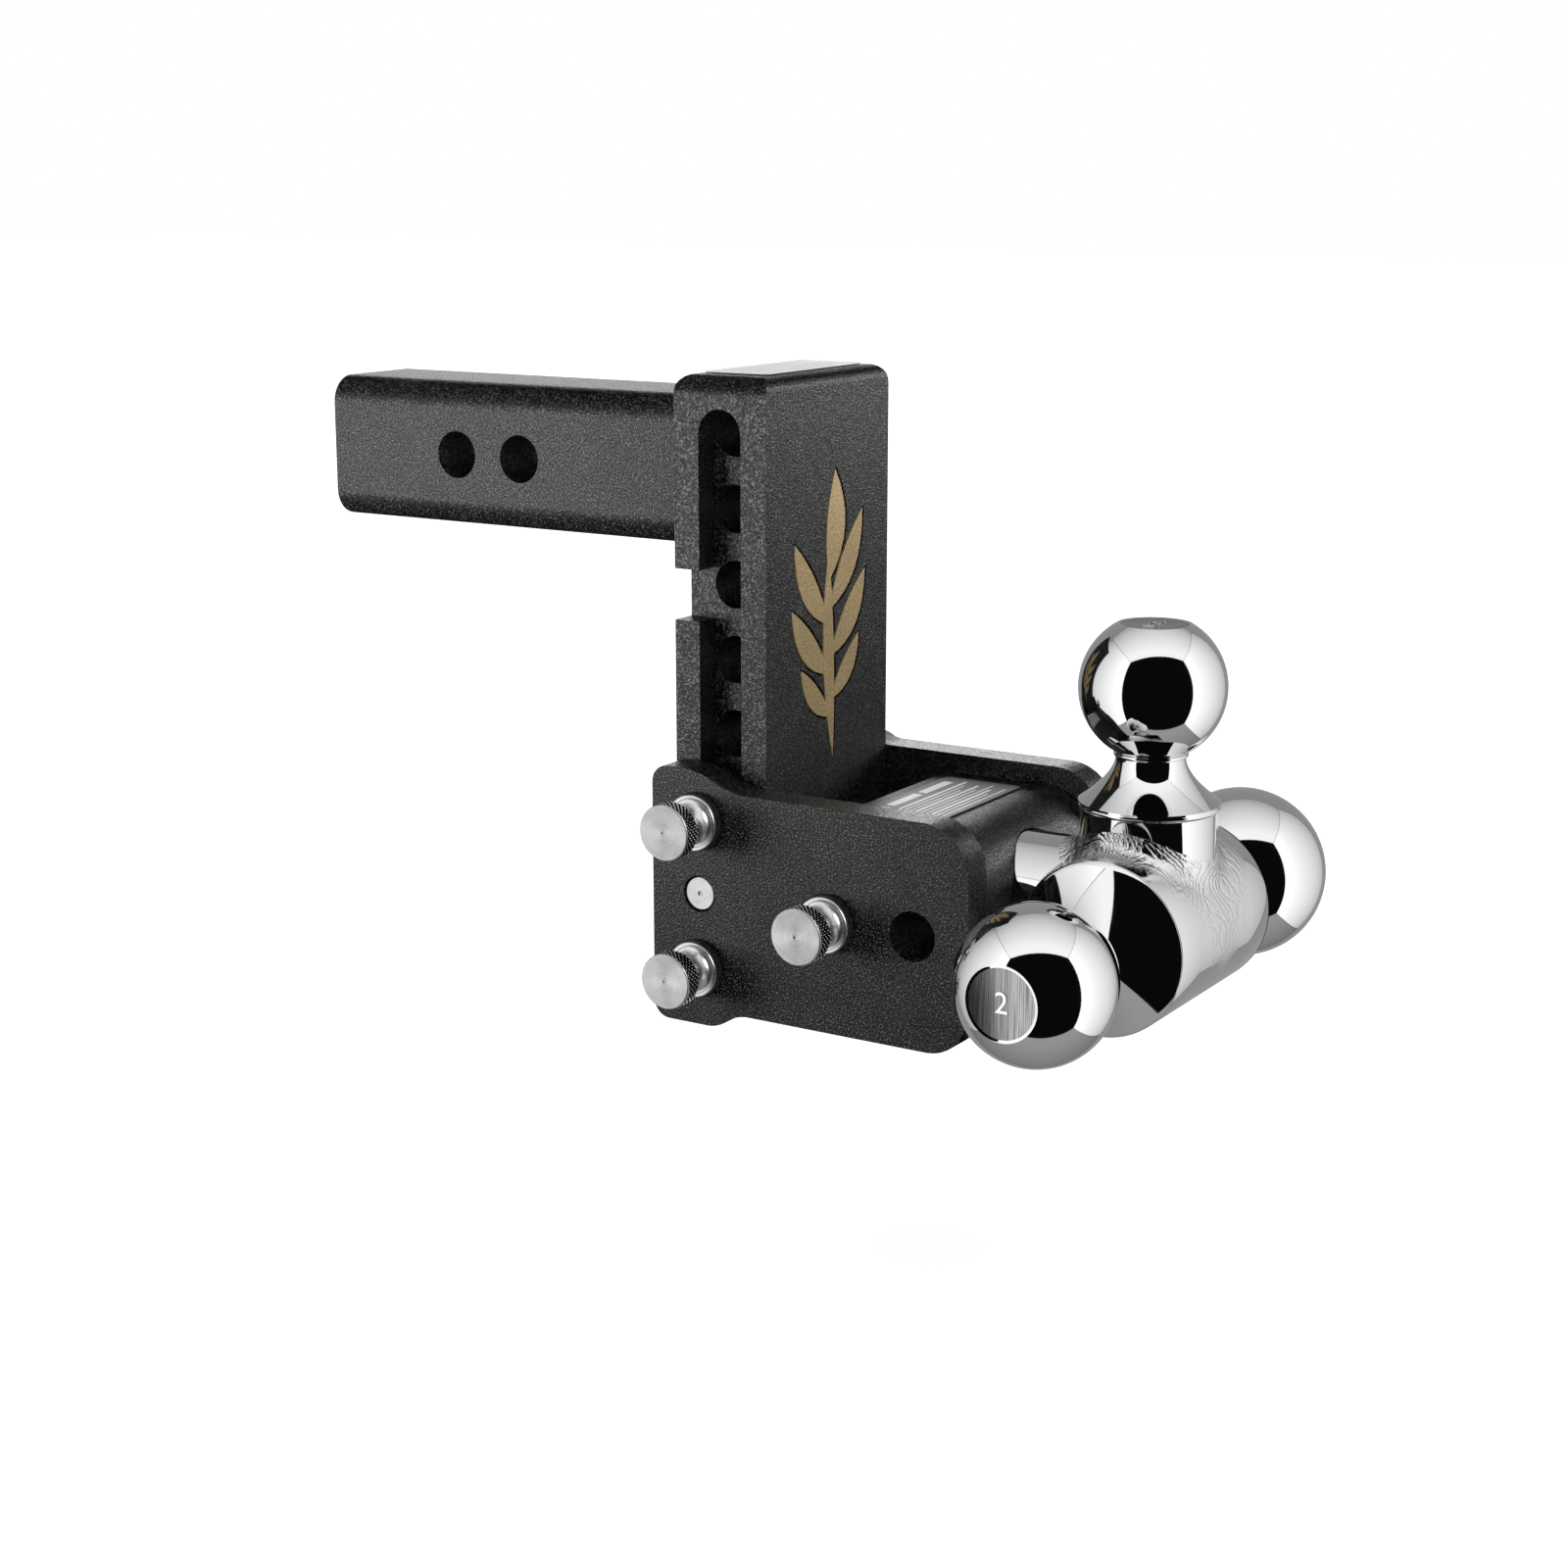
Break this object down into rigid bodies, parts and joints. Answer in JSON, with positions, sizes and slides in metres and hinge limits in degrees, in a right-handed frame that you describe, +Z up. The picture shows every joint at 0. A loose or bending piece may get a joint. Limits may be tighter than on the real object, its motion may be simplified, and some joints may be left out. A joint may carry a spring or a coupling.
{
  "type": "adjustable trailer hitch ball mount",
  "caption": "Height-adjustable hitch ball mount: square shank, grooved upright, pinned sliding housing and a turning mount with balls of different sizes.",
  "frame": {"origin": "on the shank's axis, at the receiver pin hole nearest the upright", "axes": "+X rearwards from the vehicle towards the balls, +Z up, pins pull out along -Y"},
  "size_m": [0.3462, 0.2062, 0.2178],
  "materials": {
    "black_coat": "fine-textured black powder coat with a bright speckle",
    "chrome": "mirror chrome plating",
    "spun_aluminium": "turned and knurled, spun end face",
    "pin_steel": "bright turned steel",
    "gold_paint": "satin gold fill in an engraved recess",
    "silver_label": "satin silver foil label with plain bars",
    "rubber": "matt black rubber"
  },
  "bodies": {
    "stem": {"shank_bar": "black_coat", "shank_weld": "black_coat", "upright": "black_coat", "emblem_inlay": "gold_paint", "top_label": "silver_label"},
    "housing": {"side_plate_near": "black_coat", "side_plate_far": "black_coat", "guide_pin_near": "pin_steel", "guide_pin_far": "pin_steel", "socket_block": "black_coat", "block_weld_top_near": "black_coat", "block_weld_top_far": "black_coat", "block_weld_bottom_near": "black_coat", "block_weld_bottom_far": "black_coat", "data_label": "silver_label"},
    "lock_pin_upper": {"lock_pin_upper_rod": "pin_steel", "lock_pin_upper_knob": "spun_aluminium", "lock_pin_upper_ring": "rubber"},
    "lock_pin_upper_lock": {"lock_pin_upper_lock_head": "pin_steel", "lock_pin_upper_lock_cap": "rubber"},
    "lock_pin_lower": {"lock_pin_lower_rod": "pin_steel", "lock_pin_lower_knob": "spun_aluminium", "lock_pin_lower_ring": "rubber"},
    "lock_pin_lower_lock": {"lock_pin_lower_lock_head": "pin_steel", "lock_pin_lower_lock_cap": "rubber"},
    "ball_pin": {"ball_pin_rod": "pin_steel", "ball_pin_knob": "spun_aluminium", "ball_pin_ring": "rubber"},
    "ball_pin_lock": {"ball_pin_lock_head": "pin_steel", "ball_pin_lock_cap": "rubber"},
    "ball_mount": {"barrel": "chrome", "ball_near": "chrome", "ball_far": "chrome", "ball_top": "chrome", "ball_shaft": "chrome", "collar_weld": "chrome", "shaft_weld": "chrome"}
  },
  "joints": [
    {"name": "height_slide", "type": "slide", "parent": "stem", "child": "housing", "axis": [0, 0, 1], "range_m": [0, 0.127]},
    {"name": "lock_pin_upper_pull", "type": "slide", "parent": "housing", "child": "lock_pin_upper", "axis": [0, -1, 0], "range_m": [0, 0.04]},
    {"name": "lock_pin_lower_pull", "type": "slide", "parent": "housing", "child": "lock_pin_lower", "axis": [0, -1, 0], "range_m": [0, 0.04]},
    {"name": "ball_pin_pull", "type": "slide", "parent": "housing", "child": "ball_pin", "axis": [0, -1, 0], "range_m": [0, 0.12]},
    {"name": "lock_pin_upper_lock_off", "type": "slide", "parent": "housing", "child": "lock_pin_upper_lock", "axis": [0, 1, 0], "range_m": [0, 0.03]},
    {"name": "lock_pin_lower_lock_off", "type": "slide", "parent": "housing", "child": "lock_pin_lower_lock", "axis": [0, 1, 0], "range_m": [0, 0.03]},
    {"name": "ball_pin_lock_off", "type": "slide", "parent": "housing", "child": "ball_pin_lock", "axis": [0, 1, 0], "range_m": [0, 0.03]},
    {"name": "ball_mount_spin", "type": "hinge", "parent": "housing", "child": "ball_mount", "pos_m": [0.2327, 0, -0.1397], "axis": [1, 0, 0], "continuous": true}
  ]
}
